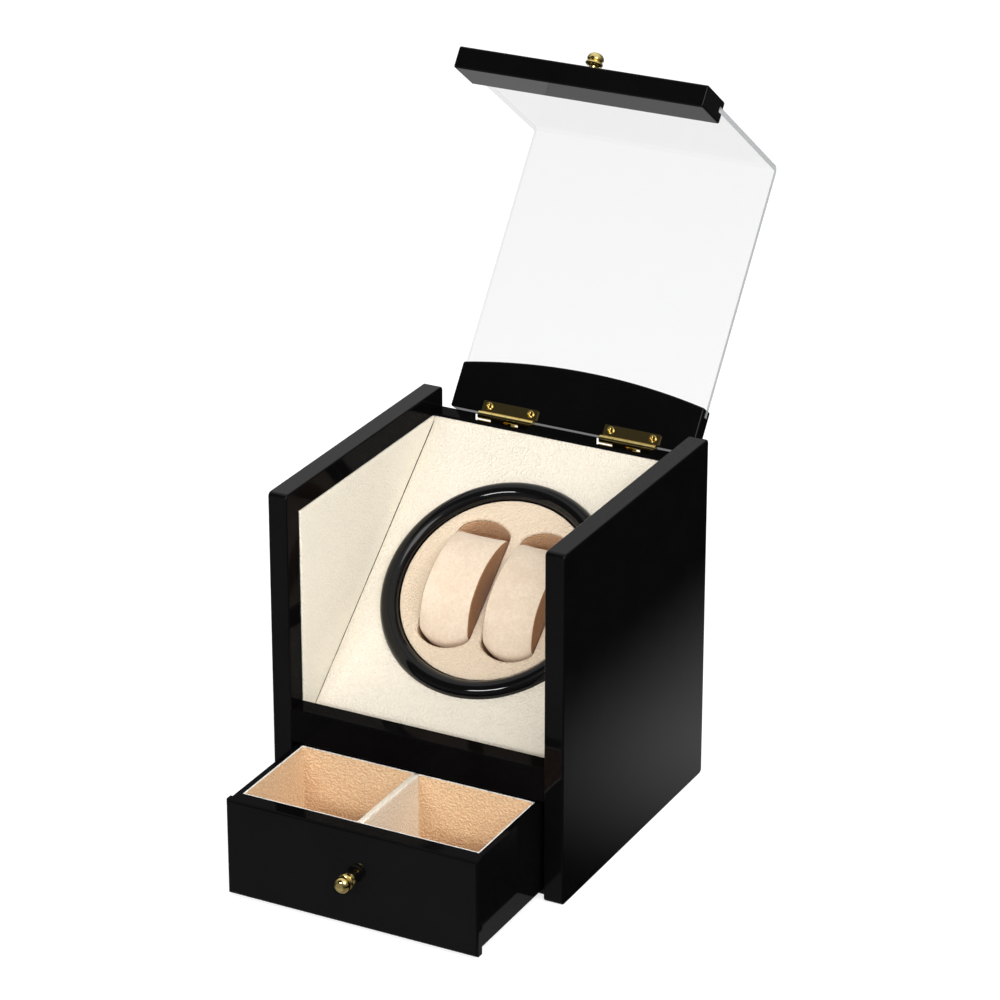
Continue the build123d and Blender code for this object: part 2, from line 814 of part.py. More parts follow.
def mode_knob():
    """Rotary selector with a pointer groove, on its own shaft."""
    knob = disc(selector_radius, 0.4, 9.4)
    knob = fillet(knob.faces().sort_by(Axis.Z)[-1].edges(), 1.0)
    for turn in range(selector_flutes):
        around = Rot(0, 0, 360 / selector_flutes * turn)
        knob -= around * disc(0.55, 2.4, 12, selector_radius + 0.2, 0)
    knob = on_rear(0, cover_z, knob, cover_back)
    knob -= block(-0.5, 0.5, cover_back + 8.8, cover_back + 10, cover_z + 1.5, cover_z + 9)
    return knob + rod_y(selector_shaft_radius, rear - 7.8, cover_back + 1, 0, cover_z)


def power_switch_body():
    x0 = control_x - rocker_opening_x
    x1 = control_x + rocker_opening_x
    low = cover_z - rocker_opening_z
    high = cover_z + rocker_opening_z
    rim = rocker_rim
    body = block(x0, x1, board_back_y, cover_back, low, high)
    body += block(x0 - rim, x1 + rim, cover_back, cover_back + 1.4, low - rim, high + rim)
    well = block(x0 + rim, x1 - rim, rocker_y - 6, cover_back + 2, low + 1.0, high - 1.0)
    return body - well


def power_rocker():
    """Rocker drawn level, then tipped to its off position about its pivot."""
    width = 5.0
    points = [(-4, -3), (-1, -8), (2.6, -8), (1.8, 0), (2.6, 8), (-1, 8), (-4, 3)]
    rocker = prism_x(points, -width, width)
    rocker = fillet(rocker.edges().filter_by(Axis.X).sort_by(Axis.Y)[-2:], 0.6)
    return Pos(control_x, rocker_y, cover_z) * Rot(rocker_tilt, 0, 0) * rocker


def control_board():
    return block(-42, 42, board_front_y, board_back_y, cover_z - 22, cover_z + 22)


knob_middle_z = (bar_bottom + bar_top) / 2

nodes = {
    "left_side_panel": side_panel(-case_width / 2),
    "right_side_panel": side_panel(inner_x),
    "base_board": base_board(),
    "rear_board": rear_board(),
    "rear_rail": rear_rail(),
    "front_rail": front_rail(),
    "drawer_deck": drawer_deck(),
    "tilted_panel": tilted_panel(),
    "panel_lining": panel_lining(),
    "left_side_lining": side_lining(-inner_x),
    "right_side_lining": side_lining(inner_x - lining_thickness),
    "bezel_ring": bezel_ring(),
    "turntable_face": turntable_face(),
    "turntable_lining": turntable_lining(),
    "turntable_housing": turntable_housing(),
    "pocket_lining_left": pocket_lining(-1),
    "pocket_lining_right": pocket_lining(1),
    "cushion_left": cushion(-1),
    "cushion_right": cushion(1),
    "spindle": spindle(),
    "spindle_bush": spindle_bush(),
    "drive_gear": drive_gear(),
    "motor_pinion": motor_pinion(),
    "mechanism_bracket": mechanism_bracket(),
    "bracket_screws": bracket_screws(),
    "gearbox_case": gearbox_case(),
    "motor_can": motor_can(),
    "motor_screws": motor_screws(),
    "lid_hinge_rail": lid_hinge_rail(),
    "lid_window": lid_window(),
    "lid_front_bar": lid_front_bar(),
    "lid_knob": opened(knob_on_front(front, knob_middle_z)),
    "lid_knob_stud": opened(knob_stud(front, knob_middle_z, 4.2)),
    "hinge_leaves_lid": hinge_leaves_lid(),
    "hinge_leaves_case": hinge_leaves_case(),
    "hinge_pins": hinge_pins(),
    "hinge_screws_lid": hinge_screws_lid(),
    "hinge_screws_case": hinge_screws_case(),
    "drawer_front": drawer_front(),
    "drawer_front_wall": drawer_front_wall(),
    "drawer_left_side": drawer_side(-drawer_half),
    "drawer_right_side": drawer_side(side_inner),
    "drawer_back": drawer_back(),
    "drawer_bottom": drawer_bottom(),
    "drawer_divider": drawer_divider(),
    "drawer_lining_left": drawer_lining(-1),
    "drawer_lining_right": drawer_lining(1),
    "drawer_knob": knob_on_front(drawer_face, knob_z),
    "drawer_knob_stud": knob_stud(drawer_face, knob_z, 8.0),
    "drawer_stop_pins": drawer_stop_pins(),
    "drawer_guides": drawer_guides(),
    "rear_cover": rear_cover(),
    "rear_cover_screws": rear_cover_screws(),
    "dc_jack": dc_jack(),
    "mode_switch": mode_switch(),
    "mode_knob": mode_knob(),
    "power_switch_body": power_switch_body(),
    "power_rocker": power_rocker(),
    "control_board": control_board(),
}

os.makedirs("parts", exist_ok=True)
for name, shape in nodes.items():
    export_step(shape, f"parts/{name}.step")
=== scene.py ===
import json
import math

import bmesh
import bpy
import numpy as np
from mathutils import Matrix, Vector, geometry, noise


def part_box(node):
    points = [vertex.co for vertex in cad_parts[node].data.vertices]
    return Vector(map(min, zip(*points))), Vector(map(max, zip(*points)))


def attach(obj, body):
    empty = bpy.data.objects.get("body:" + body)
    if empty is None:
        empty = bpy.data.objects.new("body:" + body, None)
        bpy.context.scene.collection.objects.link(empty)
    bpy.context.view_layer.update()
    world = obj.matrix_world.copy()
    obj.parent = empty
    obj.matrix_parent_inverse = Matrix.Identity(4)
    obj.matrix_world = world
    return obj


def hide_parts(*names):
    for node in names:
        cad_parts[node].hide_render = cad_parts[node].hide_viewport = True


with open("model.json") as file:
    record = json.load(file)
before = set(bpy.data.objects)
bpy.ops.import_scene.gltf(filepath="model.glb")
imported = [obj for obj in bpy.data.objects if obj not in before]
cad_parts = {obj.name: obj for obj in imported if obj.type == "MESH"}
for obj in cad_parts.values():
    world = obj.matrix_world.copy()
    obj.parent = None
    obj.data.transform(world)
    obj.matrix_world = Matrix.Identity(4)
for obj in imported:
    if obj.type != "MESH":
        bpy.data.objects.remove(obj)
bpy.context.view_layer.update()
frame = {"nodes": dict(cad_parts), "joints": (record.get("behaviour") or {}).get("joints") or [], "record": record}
nodes = frame["nodes"]
MM = 0.001
scene = bpy.context.scene
scene.view_settings.view_transform = "Standard"

# ---- where the tilted panel lies ---------------------------------------------------
joints = {j["name"]: j for j in frame["joints"]}
CENTRE = Vector(joints["turntable_spin"]["pos_m"])
NORMAL = Vector(joints["turntable_spin"]["axis"]).normalized()
ACROSS = Vector((1, 0, 0))
UP_SLOPE = NORMAL.cross(ACROSS)


def on_panel(x, u, h):
    """Millimetres across, up the slope and out of the tilted panel, as a point in metres."""
    return CENTRE + (ACROSS * x + UP_SLOPE * u + NORMAL * h) * MM


# ---- node helpers ------------------------------------------------------------------
def add(tree, kind, inputs=None, **attributes):
    """Adds a shader node; inputs are values or sockets, by name or index."""
    node = tree.nodes.new("ShaderNode" + kind)
    for key, value in attributes.items():
        setattr(node, key, value)
    for key, value in (inputs or {}).items():
        if isinstance(value, bpy.types.NodeSocket):
            tree.links.new(value, node.inputs[key])
        else:
            node.inputs[key].default_value = value
    return node


def new_material(name, **constants):
    """A material with one Principled shader, whose sockets take the constants."""
    mat = bpy.data.materials.new(name)
    mat.use_nodes = True
    tree = mat.node_tree
    shader = next(n for n in tree.nodes if n.type == "BSDF_PRINCIPLED")
    for key, value in constants.items():
        shader.inputs[key.replace("_", " ")].default_value = value
    return mat, tree, shader


def rgb(r, g, b):
    """sRGB from 0 to 255 as a linear colour."""
    def lin(c):
        c /= 255
        return c / 12.92 if c <= 0.04045 else ((c + 0.055) / 1.055) ** 2.4
    return (lin(r), lin(g), lin(b), 1)


def here(tree):
    return add(tree, "TexCoord").outputs["Object"]


def noise_of(tree, where, scale, detail=3.0, roughness=0.55, distortion=0.0):
    return add(tree, "TexNoise", {
        "Vector": where, "Scale": scale, "Detail": detail, "Roughness": roughness,
        "Distortion": distortion,
    }).outputs["Fac"]


def ranged(tree, value, low, high, to_low, to_high, smooth=False):
    node = add(tree, "MapRange", {
        "Value": value, "From Min": low, "From Max": high, "To Min": to_low, "To Max": to_high,
    })
    if smooth:
        node.interpolation_type = "SMOOTHSTEP"
    return node.outputs["Result"]


def mixed(tree, factor, first, second, blend="MIX"):
    return add(tree, "Mix", {0: factor, 6: first, 7: second},
               data_type="RGBA", blend_type=blend).outputs[2]


def maths(tree, operation, first, second=0.0, third=0.0):
    return add(tree, "Math", {0: first, 1: second, 2: third}, operation=operation).outputs[0]


def bumped(tree, shader, height, distance, strength=1.0):
    bump = add(tree, "Bump", {"Height": height, "Distance": distance, "Strength": strength})
    tree.links.new(bump.outputs["Normal"], shader.inputs["Normal"])


# ---- materials ---------------------------------------------------------------------
LACQUER_IOR = 1.28
DARK_FACE_IOR = 1.07
INSIDE_IOR = 1.06
RING_IOR = 1.38


def lacquer(name="piano_lacquer", ior=LACQUER_IOR, dark_toward=None):
    """Deep black polished lacquer: faint ripple, a little dust and hairline polishing marks.

    Faces that look in the direction dark_toward are given almost no reflection."""
    mat, tree, shader = new_material(name, IOR=ior)
    where = here(tree)
    if dark_toward:
        facing = add(tree, "VectorMath", {0: add(tree, "TexCoord").outputs["Normal"], 1: dark_toward},
                     operation="DOT_PRODUCT").outputs["Value"]
        tree.links.new(ranged(tree, facing, 0.8, 0.95, ior, DARK_FACE_IOR), shader.inputs["IOR"])
    haze = noise_of(tree, where, 35, 2)
    dust = noise_of(tree, where, 2600, 1)
    rough = ranged(tree, haze, 0.35, 0.7, 0.05, 0.09)
    specks = ranged(tree, dust, 0.70, 0.78, 0.0, 0.10)
    tree.links.new(maths(tree, "ADD", rough, specks), shader.inputs["Roughness"])
    tone = mixed(tree, haze, rgb(6, 6, 7), rgb(12, 11, 12))
    tree.links.new(tone, shader.inputs["Base Color"])
    bumped(tree, shader, noise_of(tree, where, 130, 1), 0.00002, 0.5)
    return mat


def painted_board(name="painted_board"):
    mat, tree, shader = new_material(name, Specular_IOR_Level=0.3)
    where = here(tree)
    fibre = noise_of(tree, where, 900, 4, 0.7)
    tree.links.new(mixed(tree, fibre, rgb(20, 19, 19), rgb(44, 41, 39)), shader.inputs["Base Color"])
    tree.links.new(ranged(tree, fibre, 0.3, 0.7, 0.6, 0.85), shader.inputs["Roughness"])
    bumped(tree, shader, fibre, 0.00006)
    return mat


def leather(name, pale, deep, top_highlight=None, grain=0.0005, tint=0.24):
    """Fine pebbled leather; rim is (height in metres, colour) for a painted highlight: a pale band along the top.

    grain is the depth of the pebbling in metres, tint how far its creases darken."""
    mat, tree, shader = new_material(name, Specular_IOR_Level=0.28, Sheen_Weight=0.12,
                                     Sheen_Roughness=0.5)
    where = here(tree)
    warp = noise_of(tree, where, 500, 2)
    bent = add(tree, "VectorMath", {0: where, 1: add(tree, "VectorMath", {0: add(
        tree, "TexNoise", {"Vector": where, "Scale": 420.0, "Detail": 1.0}).outputs["Color"],
        3: 0.0011}, operation="SCALE").outputs[0]}, operation="ADD").outputs[0]
    cells = add(tree, "TexVoronoi", {"Vector": bent, "Scale": 820.0, "Smoothness": 0.35},
                feature="SMOOTH_F1").outputs["Distance"]
    small = add(tree, "TexVoronoi", {"Vector": bent, "Scale": 1500.0}).outputs["Distance"]
    creases = noise_of(tree, where, 240, 5, 0.62, 0.6)
    pebble = ranged(tree, cells, 0.1, 0.75, 1.0, 0.0, True)
    height = maths(tree, "ADD", maths(tree, "MULTIPLY", pebble, 0.7),
                   maths(tree, "ADD", maths(tree, "MULTIPLY", small, -0.25),
                         maths(tree, "MULTIPLY", creases, 0.2)))
    blotch = noise_of(tree, where, 22, 3, 0.5)
    tone = mixed(tree, ranged(tree, pebble, 0.0, 0.5, tint, 0.0), pale, deep)
    tone = mixed(tree, ranged(tree, blotch, 0.35, 0.7, 0.0, 0.10), tone, deep)
    # Painted highlight: the colour turns near white within 0.35 mm of the top.
    if top_highlight:
        level, highlight_colour = top_highlight
        z = add(tree, "SeparateXYZ", {0: where}).outputs["Z"]
        tone = mixed(tree, ranged(tree, z, level - 0.00035, level - 0.0002, 0.0, 1.0), tone, highlight_colour)
    tree.links.new(tone, shader.inputs["Base Color"])
    tree.links.new(ranged(tree, warp, 0.3, 0.7, 0.5, 0.72), shader.inputs["Roughness"])
    bumped(tree, shader, height, grain, 1.0)
    return mat


def suede(name, pale, deep):
    """Brushed nap: mottled where the pile lies over, with fine fibres."""
    mat, tree, shader = new_material(name, Specular_IOR_Level=0.12, Sheen_Weight=0.35,
                                     Sheen_Roughness=0.4, Roughness=0.92)
    where = here(tree)
    nap = noise_of(tree, where, 650, 4, 0.7, 0.4)
    fibre = noise_of(tree, where, 3800, 2, 0.6)
    strokes = noise_of(tree, where, 90, 3, 0.6, 0.8)
    tone = mixed(tree, ranged(tree, nap, 0.38, 0.66, 0.0, 0.5), pale, deep)
    tone = mixed(tree, ranged(tree, strokes, 0.4, 0.7, 0.0, 0.35), tone, deep)
    tree.links.new(tone, shader.inputs["Base Color"])
    height = maths(tree, "ADD", maths(tree, "MULTIPLY", fibre, 0.4), nap)
    bumped(tree, shader, height, 0.00016, 0.8)
    return mat


def metal(name, colour, dark, roughness, brushed=False, streak=900.0):
    """Plated metal with a little handling haze; brushed adds drawn lines."""
    mat, tree, shader = new_material(name, Metallic=1.0)
    where = here(tree)
    haze = noise_of(tree, where, 180, 3)
    if brushed:
        stretched = add(tree, "Mapping", {"Vector": where, "Scale": (0.04, 1, 1)}).outputs[0]
        lines = noise_of(tree, stretched, streak * 4, 2)
    else:
        lines = noise_of(tree, where, streak, 4, 0.7)
    tree.links.new(mixed(tree, ranged(tree, haze, 0.35, 0.75, 0.0, 0.5), colour, dark),
                   shader.inputs["Base Color"])
    rough = maths(tree, "ADD", ranged(tree, haze, 0.3, 0.7, roughness * 0.7, roughness * 1.4),
                  ranged(tree, lines, 0.55, 0.8, 0.0, 0.08))
    tree.links.new(rough, shader.inputs["Roughness"])
    bumped(tree, shader, lines, 0.00001 if not brushed else 0.00003, 0.6)
    return mat


def plastic(name, colour, dark, roughness, grain=1800.0, depth=0.00003, ior=1.5):
    mat, tree, shader = new_material(name, IOR=ior)
    where = here(tree)
    spark = noise_of(tree, where, grain, 2)
    haze = noise_of(tree, where, 60, 3)
    tree.links.new(mixed(tree, haze, colour, dark), shader.inputs["Base Color"])
    tree.links.new(ranged(tree, spark, 0.35, 0.7, roughness * 0.8, roughness * 1.25),
                   shader.inputs["Roughness"])
    bumped(tree, shader, spark, depth)
    return mat


def acrylic(name="clear_acrylic_sheet"):
    """Clear sheet: faint tint and gloss on its faces; its end faces are rough and painted grey, standing in for
    the light the edges bend and reflect, fully at the right-hand end and faintly at the left.
    """
    mat, tree, shader = new_material(name, Roughness=0.35, Base_Color=rgb(150, 154, 156))
    where = here(tree)
    haze = noise_of(tree, where, 40, 2)
    clear = add(tree, "BsdfTransparent", {"Color": mixed(
        tree, haze, (0.920, 0.920, 0.921, 1), (0.924, 0.924, 0.925, 1))})
    gloss = add(tree, "BsdfGlossy", {"Roughness": ranged(tree, haze, 0.4, 0.8, 0.0, 0.02)})
    facing = add(tree, "LayerWeight", {"Blend": 0.5}).outputs["Facing"]
    fresnel = maths(tree, "MULTIPLY_ADD", maths(tree, "POWER", facing, 5.0), 0.25, 0.02)
    face = add(tree, "MixShader", {0: fresnel, 1: clear.outputs[0], 2: gloss.outputs[0]})
    side = add(tree, "SeparateXYZ", {0: add(tree, "TexCoord").outputs["Normal"]}).outputs["X"]
    # Painted edge light: the grey is full on the right-hand end and falls to 0.12 on the left.
    cut = ranged(tree, maths(tree, "ABSOLUTE", side), 0.7, 0.9, 0.0, 0.7)
    across = add(tree, "SeparateXYZ", {0: where}).outputs["X"]
    cut = maths(tree, "MULTIPLY", cut, ranged(tree, across, -0.02, 0.02, 0.12, 1.0))
    mix = add(tree, "MixShader", {0: cut, 1: face.outputs[0], 2: shader.outputs[0]})
    out = next(n for n in tree.nodes if n.type == "OUTPUT_MATERIAL")
    tree.links.new(mix.outputs[0], out.inputs["Surface"])
    return mat


def circuit_board(name="circuit_board"):
    """Green solder mask with copper tracks running under it."""
    mat, tree, shader = new_material(name, Coat_Weight=0.3, Coat_Roughness=0.2)
    where = here(tree)
    grid = add(tree, "TexBrick", {"Vector": where, "Scale": 130.0, "Mortar Size": 0.06,
                                  "Color1": (0, 0, 0, 1), "Color2": (0, 0, 0, 1),
                                  "Mortar": (1, 1, 1, 1)}).outputs["Fac"]
    weave = noise_of(tree, where, 1500, 2)
    tone = mixed(tree, grid, rgb(16, 74, 42), rgb(38, 112, 62))
    tone = mixed(tree, ranged(tree, weave, 0.4, 0.7, 0.0, 0.25), tone, rgb(10, 50, 28))
    tree.links.new(tone, shader.inputs["Base Color"])
    tree.links.new(ranged(tree, weave, 0.3, 0.7, 0.3, 0.5), shader.inputs["Roughness"])
    bumped(tree, shader, grid, 0.00004)
    return mat


LACQUER = lacquer()
LACQUER_INSIDE = lacquer("inside_lacquer", INSIDE_IOR)
LACQUER_LEFT = lacquer("left_panel_lacquer", dark_toward=(1, 0, 0))
LACQUER_DRAWER = lacquer("drawer_lacquer", dark_toward=(0, 0, 1))
BOARD = painted_board()
PANEL_LEATHER = leather("ivory_panel_leather", rgb(238, 230, 215), rgb(218, 204, 184))
# Painted light: the side linings use a paler copy of the ivory leather, for the light that falls on them.
SIDE_LEATHER_PAINTED_LIGHT = leather("ivory_side_leather_painted_light", rgb(249, 243, 228), rgb(236, 223, 199))
TURNTABLE_LEATHER = leather("ivory_disc_leather", rgb(228, 209, 185), rgb(208, 184, 156))
# Painted shade: the cushion pockets get a darker tan copy of the ivory leather, for the shade inside them.
POCKET_LEATHER_PAINTED_SHADE = leather("pocket_lining_painted_shade", rgb(226, 186, 146), rgb(190, 143, 104))
BAND_SUEDE = suede("cushion_band_suede", rgb(235, 218, 197), rgb(212, 187, 162))
# The cushions' sides are darker partly as a real tan suede and partly as painted shade on the sides.
SIDE_SUEDE_PART_PAINTED_SHADE = suede("cushion_side_suede_part_painted_shade", rgb(158, 114, 78), rgb(134, 94, 60))
BRASS = metal("polished_brass", rgb(250, 226, 150), rgb(232, 200, 116), 0.07)
STEEL = metal("plated_steel", rgb(190, 190, 192), rgb(150, 150, 152), 0.28, True)
CHROME = metal("bright_plate", rgb(214, 214, 217), rgb(170, 170, 174), 0.08)
GLOSS_BLACK = plastic("gloss_black_abs", rgb(9, 9, 10), rgb(15, 14, 15), 0.05, 500, 0.000006)
RING = plastic("gloss_black_ring", rgb(9, 9, 10), rgb(15, 14, 15), 0.06, 500, 0.000006,
               RING_IOR)
SATIN_BLACK = plastic("satin_black_abs", rgb(24, 24, 25), rgb(34, 34, 35), 0.42)
NYLON = plastic("natural_acetal", rgb(232, 230, 220), rgb(215, 210, 196), 0.4)
ACRYLIC = acrylic()
CIRCUIT = circuit_board()

BY_SLOT = {
    "black_lacquer": LACQUER, "case_interior": BOARD, "ivory_leather": PANEL_LEATHER,
    "drawer_leather": PANEL_LEATHER, "cushion_suede": BAND_SUEDE,
    "black_gloss_plastic": GLOSS_BLACK, "black_plastic": SATIN_BLACK, "nylon": NYLON,
    "clear_acrylic": ACRYLIC, "brass": BRASS, "steel": STEEL, "chrome": CHROME,
    "circuit_green": CIRCUIT,
}
BY_NODE = {
    "front_rail": LACQUER_INSIDE, "rear_rail": LACQUER_INSIDE, "left_side_panel": LACQUER_LEFT,
    "drawer_front": LACQUER_DRAWER, "drawer_front_wall": LACQUER_DRAWER,
    "drawer_left_side": LACQUER_DRAWER, "drawer_right_side": LACQUER_DRAWER,
    "drawer_back": LACQUER_DRAWER, "bezel_ring": RING,
}
for part in frame["record"]["subparts"]:
    for material_slot in nodes[part["node"]].material_slots:
        material_slot.material = BY_NODE.get(part["node"]) or BY_SLOT[part["material_slot"]]


# ---- mesh helpers ------------------------------------------------------------------
def mesh_piece(name, points, faces, materials, face_materials=None):
    mesh = bpy.data.meshes.new(name)
    mesh.from_pydata([tuple(p) for p in points], [], faces)
    for mat in materials:
        mesh.materials.append(mat)
    mesh.polygons.foreach_set("use_smooth", [True] * len(mesh.polygons))
    if face_materials is not None:
        mesh.polygons.foreach_set("material_index", face_materials)
    mesh.update()
    piece = bpy.data.objects.new(name, mesh)
    scene.collection.objects.link(piece)
    return piece


def finish_piece(piece, body, slot, *replaced):
    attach(piece, body)
    if replaced:
        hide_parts(*replaced)
    return piece


def spaced(corners, step):
    """A closed polygon's points, about step apart, its corners kept."""
    corners = np.asarray(corners, float)
    points = []
    for a, b in zip(corners, np.roll(corners, -1, axis=0)):
        count = max(1, int(round(np.linalg.norm(b - a) / step)))
        points.extend(a + (b - a) * i / count for i in range(count))
    return np.array(points)


def circle(radius, step):
    count = int(2 * math.pi * radius / step)
    turn = np.arange(count) * 2 * math.pi / count
    return np.stack([radius * np.cos(turn), radius * np.sin(turn)], axis=1)


def shifted(loop, distance):
    """A loop moved to its left by a distance, mitred at its corners."""
    ahead = np.roll(loop, -1, axis=0) - loop
    ahead /= np.linalg.norm(ahead, axis=1)[:, None]
    behind = np.roll(ahead, 1, axis=0)
    left = np.stack([-ahead[:, 1], ahead[:, 0]], axis=1)
    mean = ahead + behind
    mean /= np.linalg.norm(mean, axis=1)[:, None]
    aim = np.stack([-mean[:, 1], mean[:, 0]], axis=1)
    reach = np.clip((aim * left).sum(axis=1), 0.5, 1)
    return loop + aim * (distance / reach)[:, None]


def inside(points, loop):
    """Which points lie inside a polygon."""
    x, y = points[:, 0], points[:, 1]
    result = np.zeros(len(points), bool)
    for (ax, ay), (bx, by) in zip(loop, np.roll(loop, -1, axis=0)):
        crosses = (ay > y) != (by > y)
        with np.errstate(divide="ignore", invalid="ignore"):
            at = (bx - ax) * (y - ay) / (by - ay) + ax
        result ^= crosses & (x < at)
    return result


def distance_to(points, loop):
    best = np.full(len(points), 1e9)
    for a, b in zip(loop, np.roll(loop, -1, axis=0)):
        edge = b - a
        t = np.clip(((points - a) @ edge) / (edge @ edge), 0, 1)
        best = np.minimum(best, np.linalg.norm(points - a - t[:, None] * edge, axis=1))
    return best


def rolled_sheet(name, outer, holes, place, thick, roll, materials, hole_roll=None,
                 grid=3.0, wave=0.05, seed=0.0):
    """Leather laid over a board: flat in the middle, rolled down along every edge.

    outer runs anticlockwise and holes clockwise, seen from the lined side, in millimetres;
    place turns (x, y, height) into a point. The surface lies at height 0."""
    hole_roll = roll if hole_roll is None else hole_roll
    loops = [(outer, roll)] + [(h, hole_roll) for h in holes]
    chain, edges = [], []
    for loop, _ in loops:
        start = len(chain)
        chain.extend(map(tuple, loop))
        edges.extend((start + i, start + (i + 1) % len(loop)) for i in range(len(loop)))
    extra = [shifted(loop, size * share) for loop, size in loops for share in (0.12, 0.35, 0.65, 1.0)]
    low, high = outer.min(axis=0), outer.max(axis=0)
    gx, gy = np.meshgrid(np.arange(low[0], high[0], grid), np.arange(low[1], high[1], grid))
    field = np.stack([gx.ravel(), gy.ravel()], axis=1)
    field = field[inside(field, outer)]
    for hole in holes:
        field = field[~inside(field, hole)]
    for loop, size in loops:
        field = field[distance_to(field, loop) > size + grid * 0.4]
    flat = np.vstack([np.array(chain)] + extra + [field])
    made = geometry.delaunay_2d_cdt([Vector(p) for p in flat], edges, [], 0, 1e-5)
    flat = np.array([tuple(p) for p in made[0]])
    triangles = np.array([tuple(f) for f in made[2]])
    middle = flat[triangles].mean(axis=1)
    keep = inside(middle, outer)
    for hole in holes:
        keep &= ~inside(middle, hole)
    triangles = triangles[keep]
    a, b, c = (flat[triangles[:, i]] for i in range(3))
    area = (b[:, 0] - a[:, 0]) * (c[:, 1] - a[:, 1]) - (b[:, 1] - a[:, 1]) * (c[:, 0] - a[:, 0])
    triangles = triangles[np.abs(area) > 1e-7]
    area = area[np.abs(area) > 1e-7]
    triangles[area < 0] = triangles[area < 0][:, ::-1]
    height = np.zeros(len(flat))
    for loop, size in loops:
        near = np.clip(1 - distance_to(flat, loop) / size, 0, 1)
        height = np.minimum(height, -size * (1 - np.sqrt(1 - near ** 2)))
    ripple = np.array([noise.noise(Vector((x * 0.11 + seed, y * 0.11, seed))) for x, y in flat])
    height -= wave * (0.5 + ripple)
    count = len(flat)
    points = [place(x, y, h) for (x, y), h in zip(flat, height)]
    points += [place(x, y, h - thick) for (x, y), h in zip(flat, height)]
    faces = [tuple(t) for t in triangles] + [tuple(t[::-1] + count) for t in triangles]
    sides = {}
    for t in triangles:
        for i in range(3):
            sides[(t[i], t[(i + 1) % 3])] = True
    for p, q in sides:
        if (q, p) not in sides:
            faces.append((q, p, p + count, q + count))
    piece = mesh_piece(name, points, faces, materials)
    bm_clean(piece.data)
    return piece


def bm_clean(mesh):
    """Drops points that no face uses and turns every face outwards."""
    bm = bmesh.new()
    bm.from_mesh(mesh)
    bmesh.ops.delete(bm, geom=[v for v in bm.verts if not v.link_faces], context="VERTS")
    bmesh.ops.recalc_face_normals(bm, faces=bm.faces)
    bm.to_mesh(mesh)
    bm.free()


def lofted(name, rings, materials, face_material=None):
    """Skin over rings of equal point counts, closed at both ends by fans."""
    count = len(rings[0])
    points = [p for ring in rings for p in ring]
    faces, kinds = [], []
    for r in range(len(rings) - 1):
        for i in range(count):
            j = (i + 1) % count
            faces.append((r * count + i, r * count + j, (r + 1) * count + j, (r + 1) * count + i))
            kinds.append(face_material(r) if face_material else 0)
    for start, first in ((0, True), ((len(rings) - 1) * count, False)):
        ring = rings[0] if first else rings[-1]
        hub = sum((Vector(p) for p in ring), Vector()) / count
        points.append(hub)
        centre = len(points) - 1
        for i in range(count):
            j = (i + 1) % count
            face = (start + j, start + i, centre) if first else (start + i, start + j, centre)
            faces.append(face)
            kinds.append(0 if not face_material else face_material(0 if first else len(rings) - 2))
    piece = mesh_piece(name, points, faces, materials, kinds)
    bm_clean(piece.data)
    return piece


# ---- linings of the display space --------------------------------------------------
panel_low, panel_high = (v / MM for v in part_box("panel_lining"))
centre_mm = CENTRE / MM
half_x = panel_high.x
slope = UP_SLOPE.y
u_low = (panel_low.y - centre_mm.y) / slope + 0.15
HIDDEN_HOLE = 55.6
COVE = 5.0
wall_y = panel_high.y - 1.0
cove_turn = math.pi / 2 - math.atan2(UP_SLOPE.z, UP_SLOPE.y)
cove_start = (wall_y - centre_mm.y) / slope - COVE * math.tan(cove_turn / 2)
cove_end_z = centre_mm.z + (wall_y - centre_mm.y) * UP_SLOPE.z / slope + COVE * math.tan(cove_turn / 2)
upstand = panel_high.z - cove_end_z


def on_turned_panel(x, u, h):
    """The tilted panel, rounded into the upstand against the rear rail."""
    past = u - cove_start
    if past <= 0:
        return on_panel(x, u, h)
    turn = min(past / COVE, cove_turn)
    hub = on_panel(x, cove_start, COVE)
    base = math.atan2(UP_SLOPE.z, UP_SLOPE.y)
    reach = COVE - h
    y = hub.y / MM + reach * math.sin(base + turn)
    z = hub.z / MM - reach * math.cos(base + turn) + max(past - COVE * cove_turn, 0)
    return Vector((x, y, z)) * MM


u_top = cove_start + COVE * cove_turn + upstand
panel_outline = spaced([(-half_x + 0.1, u_low), (half_x - 0.1, u_low),
                        (half_x - 0.1, u_top), (-half_x + 0.1, u_top)], 2.0)
panel_sheet = rolled_sheet("panel_leather", panel_outline, [circle(HIDDEN_HOLE, 3.0)[::-1]],
                           on_turned_panel, 0.9, 0.45, [PANEL_LEATHER])
finish_piece(panel_sheet, "case", "ivory_leather", "panel_lining")

for side_name, sign in (("left", 1), ("right", -1)):
    node = f"{side_name}_side_lining"
    low, high = (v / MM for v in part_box(node))
    face_x = high.x if sign > 0 else low.x
    foot_y = centre_mm.y + (low.z + 0.35 - centre_mm.z) * UP_SLOPE.y / UP_SLOPE.z
    top_z = centre_mm.z + (high.y - centre_mm.y) * UP_SLOPE.z / UP_SLOPE.y
    corners = [(low.y + 0.1, low.z + 0.1), (foot_y + 0.5, low.z + 0.1), (high.y - 0.1, top_z),
               (high.y - 0.1, high.z), (low.y + 0.1, high.z)]
    outline = spaced(corners, 2.0)
    if sign > 0:
        sheet = rolled_sheet(
            "left_side_leather", outline, [],
            lambda y, z, h, x=face_x: Vector((x + h, y, z)) * MM, 0.9, 0.5, [SIDE_LEATHER_PAINTED_LIGHT], seed=3.0)
    else:
        flipped = np.stack([-outline[:, 0], outline[:, 1]], axis=1)[::-1]
        sheet = rolled_sheet(
            "right_side_leather", flipped, [],
            lambda y, z, h, x=face_x: Vector((x - h, -y, z)) * MM, 0.9, 0.5, [SIDE_LEATHER_PAINTED_LIGHT], seed=7.0)
    finish_piece(sheet, "case", "ivory_leather", node)


# ---- turntable ---------------------------------------------------------------------
POCKET_HALF, POCKET_STRAIGHT, POCKET_END = 15.5, 32.0, 38.5
POCKET_PLACE = 18.8


